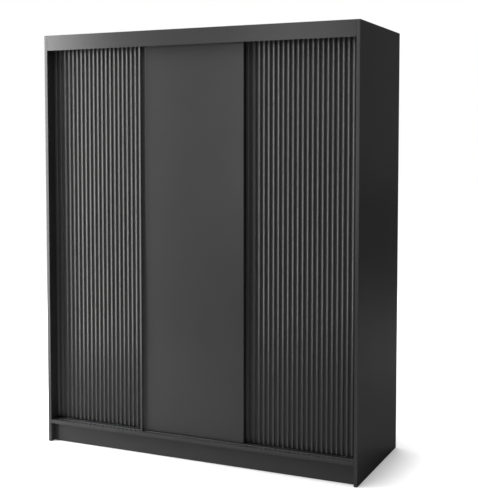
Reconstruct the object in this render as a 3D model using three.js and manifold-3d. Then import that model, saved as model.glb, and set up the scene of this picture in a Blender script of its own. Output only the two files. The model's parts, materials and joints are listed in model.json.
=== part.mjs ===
// Three-door sliding wardrobe: a board carcass on a plinth, with two fluted outer doors that share the
// rear track and one smooth middle door on the front track, with a grip rail along its left edge.
//
// Units are millimetres. +Z is up, the front faces -Y and +X is to the right of someone who stands in
// front of it. The origin is on the floor, under the middle of the wardrobe's box.

import * as THREE from 'three';
import { mergeVertices } from 'three/addons/utils/BufferGeometryUtils.js';
import Module from 'manifold-3d';

const wasm = await Module();
wasm.setup();

// ---------------------------------------------------------------------------------------------------
// Driving dimensions
// ---------------------------------------------------------------------------------------------------

// Carcass
const WIDTH = 1600;
const DEPTH = 620;
const HEIGHT = 2000;
const BOARD = 16;
const SEAM = 0.3; // hairline joint between two boards that meet
const FASCIA_HEIGHT = 73;
const PLINTH_HEIGHT = 92;
const PLINTH_RECESS = 30;
const REAR_PLINTH_SETBACK = 48;

// Back sheets and the strip that joins them
const BACK_SHEET = 3;
const BACK_SHEET_INSET = 2; // the sheets stop short of the outer faces
const STRIP_WALL = 0.9;
const STRIP_WIDTH = 18;

// Inside
const SHELF_BAY_WIDTH = 515;
const FITTINGS_SETBACK = 85; // partition and shelves start this far behind the front, behind the tracks
const SHELF_COUNT = 5;
const SHELF_SETBACK = 6; // shelves start a little behind the partition's front edge
const SHELF_BACK_GAP = 0.6;
const HAT_SHELF_SPACE = 290; // clear height above the hat shelf
const RAIL_DROP = 62; // from the hat shelf's underside to the middle of the hanging rail
const RAIL_HEIGHT = 30;
const RAIL_THICKNESS = 15;
const RAIL_WALL = 1.2;
const RAIL_FIT = 0.3;
const OVAL_STEPS = 8;
const FLANGE_RIM = 4;
const FLANGE_LENGTH = 12;
const FLANGE_BASE = 3;

// Doors
const DOOR_THICKNESS = 18;
const FRONT_DOOR_RECESS = 35; // from the wardrobe's front to the middle door's face
const TRACK_PITCH = 21; // from one track to the other
const DOOR_FLOOR_GAP = 5; // under the doors, above the bottom board
const DOOR_FASCIA_LAP = 18; // how far the doors reach up behind the fascia
const DOOR_SIDE_GAP = 1;
const MIDDLE_DOOR_WIDTH = 533;
const MIDDLE_DOOR_SHIFT = -18; // where the middle door stands at rest
const DOOR_LAP = 40; // mean overlap of the middle door and its neighbours

// Flutes of the outer doors, milled side by side with a round-nosed cutter
const FLUTE_PITCH = 23;
const FLUTE_DEPTH = 6.5;
const RIDGE_WIDTH = 1; // what the cutter leaves standing between two flutes
const FLUTE_STEPS = 10;

// Grip rail along the middle door's left edge: a round crest, and a hollow flank that runs out to the
// door's face in two arcs
const GRIP_RISE = 15;
const GRIP_CREST_RADIUS = 3;
const GRIP_STEEP = THREE.MathUtils.degToRad(66); // slope where the flank leaves the crest
const GRIP_EASE = THREE.MathUtils.degToRad(25); // slope where the flank's tight arc meets its wide one
const GRIP_FOOT_RADIUS = 40;
const GRIP_STEPS = 8;
const DOOR_EDGE_RADIUS = 2;

// Lower rollers
const WHEEL_INSET = 90; // from the door's edge to the wheel's axle
const WHEEL_TREAD_RADIUS = 9; // at the bottom of the groove that runs on the rail
const WHEEL_RIM_RADIUS = 11;
const WHEEL_WIDTH = 5.6;
const WHEEL_WEB = 3;
const WHEEL_RIM_WALL = 1.5; // under the tread
const WHEEL_HUB_RADIUS = 4.4;
const TREAD_WIDTH = 1.8;
const TREAD_MOUTH = 4;
const WHEEL_FACETS = 20;
const AXLE_RADIUS = 2;
const AXLE_CHAMFER = 0.4;
const AXLE_FACETS = 12;
const AXLE_FIT = 0.25;
const RUNNING_GAP = 0.3;

// Roller housings, let into the doors' backs
const HOUSING_LENGTH = 66;
const HOUSING_HEIGHT = 34;
const HOUSING_DEPTH = 10;
const HOUSING_CORNER = 7;
const HOUSING_FIT = 0.3;
const HOUSING_CORNER_STEPS = 5;
const WHEEL_SIDE_GAP = 0.5;
const WHEEL_POCKET_GAP = 1.5;

// Top guides, let into the doors' backs
const GUIDE_LENGTH = 44;
const GUIDE_BODY_HEIGHT = 26;
const GUIDE_BODY_DEPTH = 9;
const GUIDE_HEAD_RISE = 26; // above the door's top edge
const GUIDE_HEAD_SIDE_GAP = 1.5;
const GUIDE_NOSE = 6;
const GUIDE_NOSE_STEPS = 5;

// Tracks
const TOP_TRACK_HEIGHT = 34;
const TRACK_WALL = 1.6;
const BOTTOM_TRACK_FRONT_LIP = 18; // from the front rail to the track's front edge
const BOTTOM_TRACK_REAR_LIP = 12;
const RAIL_BEAD_WIDTH = 3;
const RAIL_BEAD_HEIGHT = 2.4;
const BEAD_STEPS = 8;

// How shapes are cut and drawn
const CUTTER_OVERSHOOT = 2; // a cutter runs this far past the surface that it opens
const ARC_STEPS = 12;

// ---------------------------------------------------------------------------------------------------
// Places that follow from the sizes above
// ---------------------------------------------------------------------------------------------------

const frontY = -DEPTH / 2;
const rearY = DEPTH / 2;
const outerX = WIDTH / 2;
const innerX = outerX - BOARD;
const boardEndX = innerX - SEAM;

const sheetRearY = rearY - STRIP_WALL - SEAM;
const sheetFrontY = sheetRearY - BACK_SHEET;
const carcassRearY = sheetFrontY - SEAM;
const partitionRearY = sheetFrontY - SEAM - STRIP_WALL - SEAM;

const bottomBoardTop = PLINTH_HEIGHT + BOARD;
const topBoardUnder = HEIGHT - BOARD;
const fasciaUnder = HEIGHT - FASCIA_HEIGHT;
const fittingsFrontY = frontY + FITTINGS_SETBACK;

const partitionLeftX = -innerX + SHELF_BAY_WIDTH;
const partitionRightX = partitionLeftX + BOARD;
const partitionMidX = partitionLeftX + BOARD / 2;

const doorBottom = bottomBoardTop + DOOR_FLOOR_GAP;
const doorTop = fasciaUnder + DOOR_FASCIA_LAP;
const frontDoorY = frontY + FRONT_DOOR_RECESS;
const rearDoorY = frontDoorY + TRACK_PITCH;
const outerDoorWidth = innerX - DOOR_SIDE_GAP - (MIDDLE_DOOR_WIDTH / 2 - DOOR_LAP);
const wheelFromFace = DOOR_THICKNESS - HOUSING_DEPTH / 2;

const railBeadTop = bottomBoardTop + SEAM + TRACK_WALL + RAIL_BEAD_HEIGHT;
const wheelZ = railBeadTop + RUNNING_GAP + WHEEL_TREAD_RADIUS;

// ---------------------------------------------------------------------------------------------------
// Materials
// ---------------------------------------------------------------------------------------------------

const finishes = {
  board: { color: 0x343536, roughness: 0.5, metalness: 0 },
  frontFoil: { color: 0x353637, roughness: 0.42, metalness: 0 },
  hardboard: { color: 0x2f2d2b, roughness: 0.75, metalness: 0 },
  darkProfile: { color: 0x2c2d2e, roughness: 0.4, metalness: 0.6 },
  steel: { color: 0xb6b8ba, roughness: 0.3, metalness: 1 },
  railSteel: { color: 0x8e9092, roughness: 0.25, metalness: 1 },
  nylon: { color: 0xd9d8d2, roughness: 0.5, metalness: 0 },
  moulding: { color: 0x232425, roughness: 0.6, metalness: 0 },
};

// ---------------------------------------------------------------------------------------------------
// Helpers
// ---------------------------------------------------------------------------------------------------

const wardrobe = new THREE.Group();

function addPart(name, geometry, finish) {
  const mesh = new THREE.Mesh(geometry, new THREE.MeshStandardMaterial(finishes[finish]));
  mesh.name = name;
  wardrobe.add(mesh);
  return mesh;
}

// A block between two corners.
function block(low, high) {
  const size = high.map((value, axis) => value - low[axis]);
  const middle = high.map((value, axis) => (value + low[axis]) / 2);
  return new THREE.BoxGeometry(...size).translate(...middle);
}

function addBoard(name, low, high, finish = 'board') {
  return addPart(name, block(low, high), finish);
}

function outline(points) {
  return new THREE.Shape(points.map(([x, y]) => new THREE.Vector2(x, y)));
}

const alongX = new THREE.Matrix4().makeBasis(
  new THREE.Vector3(0, 1, 0),
  new THREE.Vector3(0, 0, 1),
  new THREE.Vector3(1, 0, 0),
);
const alongY = new THREE.Matrix4().makeBasis(
  new THREE.Vector3(1, 0, 0),
  new THREE.Vector3(0, 0, 1),
  new THREE.Vector3(0, -1, 0),
);

// An outline drawn in X and Y, drawn out from z0 to z1.
function extrudeUp(shape, z0, z1, curveSegments = ARC_STEPS) {
  const geometry = new THREE.ExtrudeGeometry(shape, { depth: z1 - z0, bevelEnabled: false, curveSegments });
  return geometry.translate(0, 0, z0);
}

// An outline drawn in Y and Z, drawn out from x0 to x1.
function extrudeAcross(shape, x0, x1, curveSegments = ARC_STEPS) {
  const geometry = new THREE.ExtrudeGeometry(shape, { depth: x1 - x0, bevelEnabled: false, curveSegments });
  return geometry.applyMatrix4(alongX).translate(x0, 0, 0);
}

// An outline drawn in X and Z, drawn out from y0 to y1.
function extrudeBack(shape, y0, y1, curveSegments = ARC_STEPS) {
  const geometry = new THREE.ExtrudeGeometry(shape, { depth: y1 - y0, bevelEnabled: false, curveSegments });
  return geometry.applyMatrix4(alongY).translate(0, y1, 0);
}

function toSolid(geometry) {
  const bare = geometry.clone();
  bare.deleteAttribute('normal');
  bare.deleteAttribute('uv');
  const merged = mergeVertices(bare);
  const vertProperties = new Float32Array(merged.attributes.position.array);
  const triVerts = new Uint32Array(merged.index.array);
  return new wasm.Manifold(new wasm.Mesh({ numProp: 3, vertProperties, triVerts }));
}

function toGeometry(solid) {
  const mesh = solid.getMesh();
  const geometry = new THREE.BufferGeometry();
  geometry.setAttribute('position', new THREE.BufferAttribute(new Float32Array(mesh.vertProperties), 3));
  geometry.setIndex(new THREE.BufferAttribute(new Uint32Array(mesh.triVerts), 1));
  return geometry;
}

function cut(geometry, ...cutters) {
  const solid = cutters.reduce((rest, cutter) => rest.subtract(toSolid(cutter)), toSolid(geometry));
  return toGeometry(solid);
}

function common(first, second) {
  return toGeometry(toSolid(first).intersect(toSolid(second)));
}

// ---------------------------------------------------------------------------------------------------
// Carcass boards
// ---------------------------------------------------------------------------------------------------

addBoard('left_side_panel', [-outerX, frontY, 0], [-innerX, carcassRearY, HEIGHT]);
addBoard('right_side_panel', [innerX, frontY, 0], [outerX, carcassRearY, HEIGHT]);

addBoard(
  'bottom_panel',
  [-boardEndX, frontY, PLINTH_HEIGHT],
  [boardEndX, carcassRearY, bottomBoardTop],
);
addBoard('top_fascia', [-boardEndX, frontY, fasciaUnder], [boardEndX, frontY + BOARD, HEIGHT]);
addBoard(
  'top_panel',
  [-boardEndX, frontY + BOARD + SEAM, topBoardUnder],
  [boardEndX, carcassRearY, HEIGHT],
);

// ---------------------------------------------------------------------------------------------------
// Plinth: a front and a rear board and two braces under the bottom board
// ---------------------------------------------------------------------------------------------------

const plinthTop = PLINTH_HEIGHT - SEAM;
const plinthFrontY = frontY + PLINTH_RECESS;
const rearPlinthY = carcassRearY - REAR_PLINTH_SETBACK;

addBoard('front_plinth', [-boardEndX, plinthFrontY, 0], [boardEndX, plinthFrontY + BOARD, plinthTop]);
addBoard('rear_plinth', [-boardEndX, rearPlinthY - BOARD, 0], [boardEndX, rearPlinthY, plinthTop]);
for (const [name, x] of [['left_plinth_brace', partitionMidX], ['right_plinth_brace', -partitionMidX]]) {
  addBoard(
    name,
    [x - BOARD / 2, plinthFrontY + BOARD + SEAM, 0],
    [x + BOARD / 2, rearPlinthY - BOARD - SEAM, plinthTop],
  );
}

// ---------------------------------------------------------------------------------------------------
// Back: two thin sheets nailed to the rear edges, joined by an H-section strip behind the partition
// ---------------------------------------------------------------------------------------------------

const sheetBottom = PLINTH_HEIGHT + BACK_SHEET_INSET;
const sheetTop = HEIGHT - BACK_SHEET_INSET;
const sheetOuterX = outerX - BACK_SHEET_INSET;
const stripWebHalf = STRIP_WALL / 2;

addBoard(
  'back_sheet_left',
  [-sheetOuterX, sheetFrontY, sheetBottom],
  [partitionMidX - stripWebHalf - SEAM, sheetRearY, sheetTop],
  'hardboard',
);
addBoard(
  'back_sheet_right',
  [partitionMidX + stripWebHalf + SEAM, sheetFrontY, sheetBottom],
  [sheetOuterX, sheetRearY, sheetTop],
  'hardboard',
);

// The strip's slots hold the edges of both sheets.
function stripOutline() {
  const left = partitionMidX - STRIP_WIDTH / 2;
  const right = partitionMidX + STRIP_WIDTH / 2;
  const webLeft = partitionMidX - stripWebHalf;
  const webRight = partitionMidX + stripWebHalf;
  const slotFrontY = sheetFrontY - SEAM;
  const slotRearY = sheetRearY + SEAM;
  return outline([
    [left, slotFrontY - STRIP_WALL],
    [right, slotFrontY - STRIP_WALL],
    [right, slotFrontY],
    [webRight, slotFrontY],
    [webRight, slotRearY],
    [right, slotRearY],
    [right, slotRearY + STRIP_WALL],
    [left, slotRearY + STRIP_WALL],
    [left, slotRearY],
    [webLeft, slotRearY],
    [webLeft, slotFrontY],
    [left, slotFrontY],
  ]);
}

addPart(
  'back_joint_strip',
  extrudeUp(stripOutline(), bottomBoardTop + SEAM, topBoardUnder - SEAM),
  'moulding',
);

// ---------------------------------------------------------------------------------------------------
// Inside: partition, shelves on the left, hat shelf and hanging rail on the right
// ---------------------------------------------------------------------------------------------------

const shelfFrontY = fittingsFrontY + SHELF_SETBACK;
const shelfRearY = sheetFrontY - SHELF_BACK_GAP - SEAM - STRIP_WALL;

addBoard(
  'partition',
  [partitionLeftX, fittingsFrontY, bottomBoardTop + SEAM],
  [partitionRightX, partitionRearY, topBoardUnder - SEAM],
);

const shelfStep = (topBoardUnder - bottomBoardTop) / (SHELF_COUNT + 1);
for (let level = 1; level <= SHELF_COUNT; level += 1) {
  const middleZ = bottomBoardTop + level * shelfStep;
  addBoard(
    `shelf_${level}`,
    [-innerX + SEAM, shelfFrontY, middleZ - BOARD / 2],
    [partitionLeftX - SEAM, shelfRearY, middleZ + BOARD / 2],
  );
}

const hatShelfTop = topBoardUnder - HAT_SHELF_SPACE;
const hatShelfUnder = hatShelfTop - BOARD;
addBoard(
  'hat_shelf',
  [partitionRightX + SEAM, shelfFrontY, hatShelfUnder],
  [innerX - SEAM, shelfRearY, hatShelfTop],
);

const railZ = hatShelfUnder - RAIL_DROP;
const railY = (shelfFrontY + shelfRearY) / 2;

// A slot shape with two round ends, upright, drawn in Y and Z around the rail's middle.
function railOval(height, thickness, target = new THREE.Shape()) {
  const radius = thickness / 2;
  const straight = height / 2 - radius;
  target.absarc(railY, railZ + straight, radius, 0, Math.PI, false);
  target.absarc(railY, railZ - straight, radius, Math.PI, 2 * Math.PI, false);
  target.closePath();
  return target;
}

function railTube(x0, x1) {
  const section = railOval(RAIL_HEIGHT, RAIL_THICKNESS);
  const bore = railOval(RAIL_HEIGHT - 2 * RAIL_WALL, RAIL_THICKNESS - 2 * RAIL_WALL, new THREE.Path());
  section.holes.push(bore);
  return extrudeAcross(section, x0, x1, OVAL_STEPS);
}

// A cup screwed to the board, which takes the end of the rail.
function railFlange(x0, x1, baseAtLeft) {
  const rim = 2 * (FLANGE_RIM + RAIL_FIT);
  const cup = extrudeAcross(railOval(RAIL_HEIGHT + rim, RAIL_THICKNESS + rim), x0, x1, OVAL_STEPS);
  const socket = railOval(RAIL_HEIGHT + 2 * RAIL_FIT, RAIL_THICKNESS + 2 * RAIL_FIT);
  const socketStart = baseAtLeft ? x0 + FLANGE_BASE : x0 - FLANGE_BASE;
  const socketEnd = baseAtLeft ? x1 + FLANGE_BASE : x1 - FLANGE_BASE;
  return cut(cup, extrudeAcross(socket, socketStart, socketEnd, OVAL_STEPS));
}

const railLeftX = partitionRightX + SEAM;
const railRightX = innerX - SEAM;
addPart('rail_flange_left', railFlange(railLeftX, railLeftX + FLANGE_LENGTH, true), 'moulding');
addPart('rail_flange_right', railFlange(railRightX - FLANGE_LENGTH, railRightX, false), 'moulding');
addPart(
  'hanging_rail',
  railTube(railLeftX + FLANGE_BASE + RAIL_FIT, railRightX - FLANGE_BASE - RAIL_FIT),
  'railSteel',
);

// ---------------------------------------------------------------------------------------------------
// Tracks: a double channel under the top board and a double rail on the bottom board
// ---------------------------------------------------------------------------------------------------

const frontChannelMidY = frontDoorY + DOOR_THICKNESS / 2;
const channelWidth = TRACK_PITCH - TRACK_WALL;

function topTrackOutline() {
  const top = topBoardUnder - SEAM;
  const bottom = top - TOP_TRACK_HEIGHT;
  const roof = top - TRACK_WALL;
  const start = frontChannelMidY - channelWidth / 2 - TRACK_WALL;
  const end = start + 2 * TRACK_PITCH + TRACK_WALL;
  const middle = start + TRACK_PITCH;
  return outline([
    [start, top],
    [start, bottom],
    [start + TRACK_WALL, bottom],
    [start + TRACK_WALL, roof],
    [middle, roof],
    [middle, bottom],
    [middle + TRACK_WALL, bottom],
    [middle + TRACK_WALL, roof],
    [end - TRACK_WALL, roof],
    [end - TRACK_WALL, bottom],
    [end, bottom],
    [end, top],
  ]);
}

// Half a wave of bead, from one foot to the other, in Y and Z.
function beadPoints(middleY, base) {
  const points = [];
  for (let step = 0; step <= BEAD_STEPS; step += 1) {
    const turn = Math.PI * (1 - step / BEAD_STEPS);
    const y = middleY + (RAIL_BEAD_WIDTH / 2) * Math.cos(turn);
    points.push([y, base + RAIL_BEAD_HEIGHT * Math.sin(turn)]);
  }
  return points;
}

function bottomTrackOutline() {
  const under = bottomBoardTop + SEAM;
  const base = under + TRACK_WALL;
  const frontRailY = frontDoorY + wheelFromFace;
  const rearRailY = rearDoorY + wheelFromFace;
  const start = frontRailY - BOTTOM_TRACK_FRONT_LIP;
  const end = rearRailY + BOTTOM_TRACK_REAR_LIP;
  return outline([
    [end, under],
    [start, under],
    [start + TRACK_WALL, base],
    ...beadPoints(frontRailY, base),
    ...beadPoints(rearRailY, base),
    [end - TRACK_WALL, base],
  ]);
}

addPart('top_track', extrudeAcross(topTrackOutline(), -boardEndX, boardEndX), 'darkProfile');
addPart('bottom_track', extrudeAcross(bottomTrackOutline(), -boardEndX, boardEndX), 'darkProfile');

// ---------------------------------------------------------------------------------------------------
// Door fittings
// ---------------------------------------------------------------------------------------------------

// Side view of a roller housing, with its round upper corners, grown all round by a clearance.
function housingOutline(x, grow) {
  const half = HOUSING_LENGTH / 2 + grow;
  const corner = HOUSING_CORNER + grow;
  const top = doorBottom + HOUSING_HEIGHT + grow;
  const shape = new THREE.Shape();
  shape.moveTo(x - half, doorBottom - grow);
  shape.lineTo(x + half, doorBottom - grow);
  shape.lineTo(x + half, top - corner);
  shape.absarc(x + half - corner, top - corner, corner, 0, Math.PI / 2, false);
  shape.absarc(x - half + corner, top - corner, corner, Math.PI / 2, Math.PI, false);
  shape.closePath();
  return shape;
}

function cylinderAlongY(radius, facets, x, z, y0, y1) {
  return new THREE.CylinderGeometry(radius, radius, y1 - y0, facets).translate(x, (y0 + y1) / 2, z);
}

// The moulded housing: a shell with a pocket for the wheel and a hole for its axle.
function rollerHousing(x, doorY) {
  const backY = doorY + DOOR_THICKNESS;
  const frontOfHousing = backY - HOUSING_DEPTH + HOUSING_FIT;
  const wheelY = doorY + wheelFromFace;
  const pocketHalf = WHEEL_WIDTH / 2 + WHEEL_SIDE_GAP;
  const pocketRadius = WHEEL_RIM_RADIUS + WHEEL_POCKET_GAP;
  const boreStart = frontOfHousing - CUTTER_OVERSHOOT;
  const boreEnd = backY + CUTTER_OVERSHOOT;
  const pocket = new THREE.Shape();
  pocket.moveTo(x - pocketRadius, doorBottom - HOUSING_FIT);
  pocket.lineTo(x + pocketRadius, doorBottom - HOUSING_FIT);
  pocket.lineTo(x + pocketRadius, wheelZ);
  pocket.absarc(x, wheelZ, pocketRadius, 0, Math.PI, false);
  pocket.closePath();
  return cut(
    extrudeBack(housingOutline(x, 0), frontOfHousing, backY, HOUSING_CORNER_STEPS),
    extrudeBack(pocket, wheelY - pocketHalf, wheelY + pocketHalf),
    cylinderAlongY(AXLE_RADIUS + AXLE_FIT, AXLE_FACETS, x, wheelZ, boreStart, boreEnd),
  );
}

// The wheel is turned, with a grooved tread, a thinner web and a hub on the axle.
function wheelGeometry() {
  const half = WHEEL_WIDTH / 2;
  const web = WHEEL_WEB / 2;
  const bore = AXLE_RADIUS + AXLE_FIT;
  const rimInner = WHEEL_TREAD_RADIUS - WHEEL_RIM_WALL;
  const profile = [
    [bore, -half],
    [WHEEL_HUB_RADIUS, -half],
    [WHEEL_HUB_RADIUS, -web],
    [rimInner, -web],
    [rimInner, -half],
    [WHEEL_RIM_RADIUS, -half],
    [WHEEL_RIM_RADIUS, -TREAD_MOUTH / 2],
    [WHEEL_TREAD_RADIUS, -TREAD_WIDTH / 2],
    [WHEEL_TREAD_RADIUS, TREAD_WIDTH / 2],
    [WHEEL_RIM_RADIUS, TREAD_MOUTH / 2],
    [WHEEL_RIM_RADIUS, half],
    [rimInner, half],
    [rimInner, web],
    [WHEEL_HUB_RADIUS, web],
    [WHEEL_HUB_RADIUS, half],
    [bore, half],
    [bore, -half],
  ];
  return new THREE.LatheGeometry(profile.map(([r, y]) => new THREE.Vector2(r, y)), WHEEL_FACETS);
}

function axleGeometry() {
  const half = (HOUSING_DEPTH - HOUSING_FIT) / 2;
  const profile = [
    [0, -half],
    [AXLE_RADIUS - AXLE_CHAMFER, -half],
    [AXLE_RADIUS, -half + AXLE_CHAMFER],
    [AXLE_RADIUS, half - AXLE_CHAMFER],
    [AXLE_RADIUS - AXLE_CHAMFER, half],
    [0, half],
  ];
  return new THREE.LatheGeometry(profile.map(([r, y]) => new THREE.Vector2(r, y)), AXLE_FACETS);
}

// A top guide: a plate let into the door's back, and a head that runs in the track's channel.
// Its side section is drawn out along X and trimmed to a plan with pointed, rounded noses.
function topGuide(x, doorY) {
  const backY = doorY + DOOR_THICKNESS;
  const plateFrontY = backY - GUIDE_BODY_DEPTH + HOUSING_FIT;
  const midY = doorY + DOOR_THICKNESS / 2;
  const headHalf = channelWidth / 2 - GUIDE_HEAD_SIDE_GAP;
  const half = GUIDE_LENGTH / 2;
  const section = outline([
    [plateFrontY, doorTop - GUIDE_BODY_HEIGHT],
    [backY, doorTop - GUIDE_BODY_HEIGHT],
    [backY, doorTop + HOUSING_FIT],
    [midY + headHalf, doorTop + HOUSING_FIT],
    [midY + headHalf, doorTop + GUIDE_HEAD_RISE],
    [midY - headHalf, doorTop + GUIDE_HEAD_RISE],
    [midY - headHalf, doorTop + HOUSING_FIT],
    [plateFrontY, doorTop + HOUSING_FIT],
  ]);
  const plan = new THREE.Shape();
  plan.moveTo(x - half, backY);
  plan.lineTo(x - half, midY);
  plan.quadraticCurveTo(x - half, midY - headHalf, x - half + GUIDE_NOSE, midY - headHalf);
  plan.lineTo(x + half - GUIDE_NOSE, midY - headHalf);
  plan.quadraticCurveTo(x + half, midY - headHalf, x + half, midY);
  plan.lineTo(x + half, backY);
  plan.closePath();
  const tall = extrudeUp(plan, doorTop - GUIDE_BODY_HEIGHT, doorTop + GUIDE_HEAD_RISE, GUIDE_NOSE_STEPS);
  return common(extrudeAcross(section, x - half, x + half), tall);
}

// ---------------------------------------------------------------------------------------------------
// Door panels
// ---------------------------------------------------------------------------------------------------

// Points of an arc in plan, from one angle to another, without its first point.
function arcPoints(centreX, centreY, radius, from, to, steps) {
  const points = [];
  for (let step = 1; step <= steps; step += 1) {
    const angle = from + ((to - from) * step) / steps;
    points.push([centreX + radius * Math.cos(angle), centreY + radius * Math.sin(angle)]);
  }
  return points;
}

// Plan of a fluted panel: a whole number of hollow flutes, with half a ridge at both edges.
function flutedPlan(left, right, doorY) {
  const flutes = Math.round((right - left) / FLUTE_PITCH);
  const pitch = (right - left) / flutes;
  const halfChord = (pitch - RIDGE_WIDTH) / 2;
  const radius = (halfChord ** 2 + FLUTE_DEPTH ** 2) / (2 * FLUTE_DEPTH);
  const halfTurn = Math.asin(halfChord / radius);
  const centreY = doorY + FLUTE_DEPTH - radius;
  const points = [[left, doorY]];
  for (let flute = 0; flute < flutes; flute += 1) {
    const middleX = left + pitch * (flute + 1 / 2);
    points.push([middleX - halfChord, doorY]);
    points.push(...arcPoints(
      middleX, centreY, radius, Math.PI / 2 + halfTurn, Math.PI / 2 - halfTurn, FLUTE_STEPS,
    ));
  }
  points.push([right, doorY]);
  points.push([right, doorY + DOOR_THICKNESS]);
  points.push([left, doorY + DOOR_THICKNESS]);
  return outline(points);
}

// Plan of the smooth panel, from its left back corner: up the grip rail's outer side, over the crest,
// down the hollow flank to the face, and round the right edge.
function grippedPlan(left, right, doorY) {
  const backY = doorY + DOOR_THICKNESS;
  const crestY = doorY - GRIP_RISE + GRIP_CREST_RADIUS;
  const crestX = left + GRIP_CREST_RADIUS;
  const flankX = crestX + GRIP_CREST_RADIUS * Math.sin(GRIP_STEEP);
  const flankY = crestY - GRIP_CREST_RADIUS * Math.cos(GRIP_STEEP);
  const footDrop = GRIP_FOOT_RADIUS * (1 - Math.cos(GRIP_EASE));
  const tightRadius = (doorY - flankY - footDrop) / (Math.cos(GRIP_EASE) - Math.cos(GRIP_STEEP));
  const tightX = flankX + tightRadius * Math.sin(GRIP_STEEP);
  const tightY = flankY - tightRadius * Math.cos(GRIP_STEEP);
  const footX = tightX + (GRIP_FOOT_RADIUS - tightRadius) * Math.sin(GRIP_EASE);
  const footY = doorY - GRIP_FOOT_RADIUS;
  const down = Math.PI / 2;
  const edgeX = right - DOOR_EDGE_RADIUS;
  const edgeY = doorY + DOOR_EDGE_RADIUS;
  return outline([
    [left, backY],
    [left, crestY],
    ...arcPoints(crestX, crestY, GRIP_CREST_RADIUS, Math.PI, Math.PI + down + GRIP_STEEP, GRIP_STEPS),
    ...arcPoints(tightX, tightY, tightRadius, down + GRIP_STEEP, down + GRIP_EASE, GRIP_STEPS),
    ...arcPoints(footX, footY, GRIP_FOOT_RADIUS, down + GRIP_EASE, down, GRIP_STEPS),
    [edgeX, doorY],
    ...arcPoints(edgeX, edgeY, DOOR_EDGE_RADIUS, -down, 0, GRIP_STEPS),
    [right, backY],
  ]);
}

// A door is a panel with recesses routed into its back for two rollers and two top guides.
function addDoor(name, left, right, doorY, plan) {
  const backY = doorY + DOOR_THICKNESS;
  const past = CUTTER_OVERSHOOT;
  const places = { left: left + WHEEL_INSET, right: right - WHEEL_INSET };
  const recesses = Object.values(places).flatMap((x) => {
    const housing = housingOutline(x, HOUSING_FIT);
    const guideHalf = GUIDE_LENGTH / 2 + HOUSING_FIT;
    const guideFoot = doorTop - GUIDE_BODY_HEIGHT - HOUSING_FIT;
    const guideLow = [x - guideHalf, backY - GUIDE_BODY_DEPTH, guideFoot];
    const guideHigh = [x + guideHalf, backY + past, doorTop + past];
    return [
      extrudeBack(housing, backY - HOUSING_DEPTH, backY + past, HOUSING_CORNER_STEPS),
      block(guideLow, guideHigh),
    ];
  });
  const panel = extrudeUp(plan, doorBottom, doorTop);
  addPart(`${name}_panel`, cut(panel, ...recesses), 'frontFoil');
  for (const [side, x] of Object.entries(places)) {
    const wheelY = doorY + wheelFromFace;
    addPart(`${name}_roller_housing_${side}`, rollerHousing(x, doorY), 'moulding');
    addPart(`${name}_wheel_${side}`, wheelGeometry(), 'nylon').position.set(x, wheelY, wheelZ);
    const axleY = backY - (HOUSING_DEPTH - HOUSING_FIT) / 2;
    addPart(`${name}_axle_${side}`, axleGeometry(), 'steel').position.set(x, axleY, wheelZ);
    addPart(`${name}_top_guide_${side}`, topGuide(x, doorY), 'nylon');
  }
}

const outerDoorLeft = -innerX + DOOR_SIDE_GAP;
const outerDoorRight = innerX - DOOR_SIDE_GAP;
const middleDoorLeft = MIDDLE_DOOR_SHIFT - MIDDLE_DOOR_WIDTH / 2;
const middleDoorRight = MIDDLE_DOOR_SHIFT + MIDDLE_DOOR_WIDTH / 2;

addDoor(
  'left_door',
  outerDoorLeft,
  outerDoorLeft + outerDoorWidth,
  rearDoorY,
  flutedPlan(outerDoorLeft, outerDoorLeft + outerDoorWidth, rearDoorY),
);
addDoor(
  'middle_door',
  middleDoorLeft,
  middleDoorRight,
  frontDoorY,
  grippedPlan(middleDoorLeft, middleDoorRight, frontDoorY),
);
addDoor(
  'right_door',
  outerDoorRight - outerDoorWidth,
  outerDoorRight,
  rearDoorY,
  flutedPlan(outerDoorRight - outerDoorWidth, outerDoorRight, rearDoorY),
);

export default wardrobe;
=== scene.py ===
# %% [markdown]
# # A sliding door wardrobe
# The real piece is a flat-pack wardrobe: dark melamine boards on a plinth, two fluted sliding doors on
# the rear track and one smooth door with a grip rail on the front track. The CAD model already fixes
# every size and every moving part, so this lesson only dresses it: each part gets its real edges,
# fittings and finish, and rides on the CAD body it belongs to.

# %% Load the part
import json
import math

import bpy
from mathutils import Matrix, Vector


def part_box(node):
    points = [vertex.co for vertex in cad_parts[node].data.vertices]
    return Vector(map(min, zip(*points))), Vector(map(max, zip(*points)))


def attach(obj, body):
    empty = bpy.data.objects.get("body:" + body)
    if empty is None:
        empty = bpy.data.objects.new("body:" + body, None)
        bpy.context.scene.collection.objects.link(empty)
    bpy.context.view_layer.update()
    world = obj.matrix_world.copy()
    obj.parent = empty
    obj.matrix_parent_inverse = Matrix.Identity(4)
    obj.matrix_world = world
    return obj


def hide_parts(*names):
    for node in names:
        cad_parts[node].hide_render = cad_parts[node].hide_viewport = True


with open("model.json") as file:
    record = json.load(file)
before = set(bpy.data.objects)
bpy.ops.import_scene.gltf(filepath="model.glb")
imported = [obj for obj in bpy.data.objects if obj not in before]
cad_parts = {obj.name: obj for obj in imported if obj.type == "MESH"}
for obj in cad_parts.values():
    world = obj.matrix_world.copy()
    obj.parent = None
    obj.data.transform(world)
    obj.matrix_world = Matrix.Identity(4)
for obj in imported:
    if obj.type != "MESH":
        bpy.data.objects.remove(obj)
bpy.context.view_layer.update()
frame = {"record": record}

# %% [markdown]
# ## Working as by hand
# Every piece starts as a primitive and is shaped in edit mode. An operator acts on whatever is
# selected, so two habits keep the work safe: clear the selection before anything is added, and pick
# faces, edges or points by where they are. The helpers below are those two habits.

# %% Helpers for selecting
X, Y, Z = 0, 1, 2


def mm(length):
    return length / 1000


def deselect():
    if bpy.context.mode != "OBJECT":
        bpy.ops.object.mode_set(mode="OBJECT")
    bpy.ops.object.select_all(action="DESELECT")


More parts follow.
